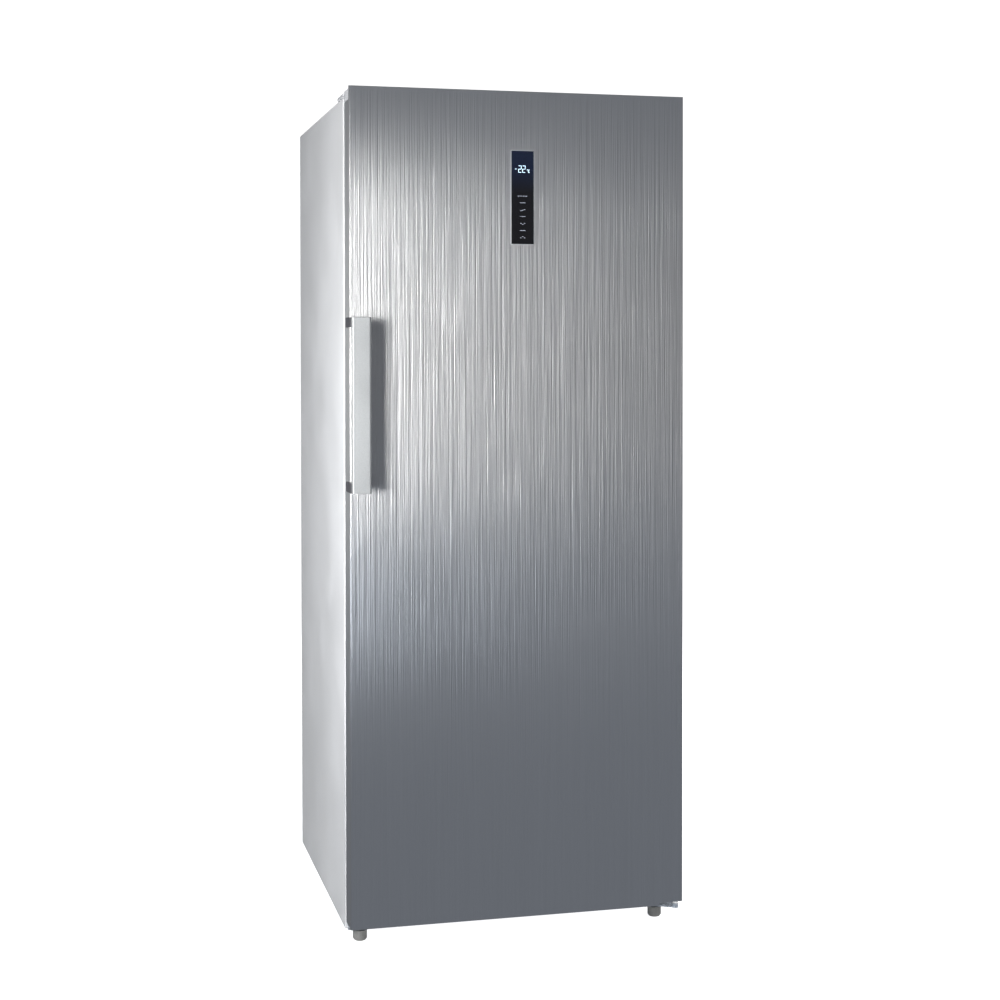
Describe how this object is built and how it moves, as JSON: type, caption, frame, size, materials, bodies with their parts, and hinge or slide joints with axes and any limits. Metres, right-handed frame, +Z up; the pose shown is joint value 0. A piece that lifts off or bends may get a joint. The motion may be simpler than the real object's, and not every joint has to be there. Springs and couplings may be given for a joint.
{
  "type": "upright freezer",
  "caption": "Upright single-door freezer with a brushed steel door, a side-mounted bar handle, a touch display, shelves, door bins and a slide-out bin.",
  "frame": {"origin": "on the floor under the middle of the whole object, handle included", "axes": "+Z up, the door faces -Y, +X towards the hinge side"},
  "size_m": [0.716, 0.801, 1.7655],
  "materials": {
    "brushed_steel": "satin",
    "silver_paint": "satin",
    "galvanised_steel": "satin",
    "zinc_plate": "satin",
    "white_liner": "satin",
    "grey_plastic": "satin",
    "dark_plastic": "satin",
    "clear_plastic": "gloss",
    "insulation_foam": "matte",
    "seal_rubber": "matte",
    "satin_aluminium": "satin",
    "display_glass": "gloss",
    "shelf_glass": "gloss",
    "circuit_board": "satin",
    "black_enamel": "gloss",
    "coil_aluminium": "satin"
  },
  "bodies": {
    "cabinet": {"cabinet_wrap": "silver_paint", "back_panel": "galvanised_steel", "cabinet_foam": "insulation_foam", "cabinet_liner": "white_liner", "top_trim": "grey_plastic", "hinge_cover": "grey_plastic", "base_pan": "galvanised_steel", "left_foot_bracket": "zinc_plate", "lower_hinge_bracket": "zinc_plate", "lower_hinge_pin": "zinc_plate", "upper_hinge_bracket": "zinc_plate", "upper_hinge_pin": "zinc_plate", "machine_cover": "galvanised_steel", "cord_gland": "dark_plastic", "compressor": "black_enamel", "relay_cover": "dark_plastic", "condenser_coil": "black_enamel", "condenser_fan_shroud": "dark_plastic", "drain_tray": "dark_plastic", "control_box": "dark_plastic", "evaporator_coil": "coil_aluminium", "air_duct_panel": "white_liner", "lamp_lens": "clear_plastic", "left_roller_bracket": "zinc_plate", "right_roller_bracket": "zinc_plate", "left_roller_axle": "zinc_plate", "right_roller_axle": "zinc_plate", "shelf_frame_1": "white_liner", "shelf_glass_1": "shelf_glass", "shelf_frame_2": "white_liner", "shelf_glass_2": "shelf_glass", "shelf_frame_3": "white_liner", "shelf_glass_3": "shelf_glass", "shelf_frame_4": "white_liner", "shelf_glass_4": "shelf_glass"},
    "door": {"door_skin": "brushed_steel", "door_foam": "insulation_foam", "door_liner": "white_liner", "door_cap_top": "grey_plastic", "door_cap_bottom": "grey_plastic", "door_seal": "seal_rubber", "handle_bar": "satin_aluminium", "handle_arm_top": "dark_plastic", "handle_arm_bottom": "dark_plastic", "display_window": "display_glass", "display_housing": "satin_aluminium", "display_board": "circuit_board", "lower_hinge_bush": "white_liner", "upper_hinge_bush": "white_liner", "door_bin_1": "clear_plastic", "door_bin_2": "clear_plastic", "door_bin_3": "clear_plastic", "door_bin_4": "clear_plastic"},
    "left_foot": {"left_front_foot": "dark_plastic"},
    "right_foot": {"right_front_foot": "dark_plastic"},
    "left_roller": {"left_rear_roller": "dark_plastic"},
    "right_roller": {"right_rear_roller": "dark_plastic"},
    "condenser_fan": {"condenser_fan_rotor": "dark_plastic"},
    "evaporator_fan": {"evaporator_fan_rotor": "dark_plastic"},
    "frozen_food_bin": {"slide_out_bin": "clear_plastic"}
  },
  "joints": [
    {"name": "door_hinge", "type": "hinge", "parent": "cabinet", "child": "door", "pos_m": [0.343, -0.3315, 0.9], "axis": [0, 0, 1], "range_deg": [0, 120]},
    {"name": "left_foot_height", "type": "slide", "parent": "cabinet", "child": "left_foot", "axis": [0, 0, -1], "range_m": [-0.003, 0.012]},
    {"name": "right_foot_height", "type": "slide", "parent": "cabinet", "child": "right_foot", "axis": [0, 0, -1], "range_m": [-0.003, 0.012]},
    {"name": "left_roller_spin", "type": "hinge", "parent": "cabinet", "child": "left_roller", "pos_m": [-0.2955, 0.3505, 0.0125], "axis": [1, 0, 0], "continuous": true},
    {"name": "right_roller_spin", "type": "hinge", "parent": "cabinet", "child": "right_roller", "pos_m": [0.2955, 0.3505, 0.0125], "axis": [1, 0, 0], "continuous": true},
    {"name": "condenser_fan_spin", "type": "hinge", "parent": "cabinet", "child": "condenser_fan", "pos_m": [-0.0535, 0.293, 0.12365], "axis": [1, 0, 0], "continuous": true},
    {"name": "evaporator_fan_spin", "type": "hinge", "parent": "cabinet", "child": "evaporator_fan", "pos_m": [0, 0.2985, 1.5225], "axis": [0, 1, 0], "continuous": true},
    {"name": "bin_slide", "type": "slide", "parent": "cabinet", "child": "frozen_food_bin", "axis": [0, -1, 0], "range_m": [0, 0.09]}
  ]
}
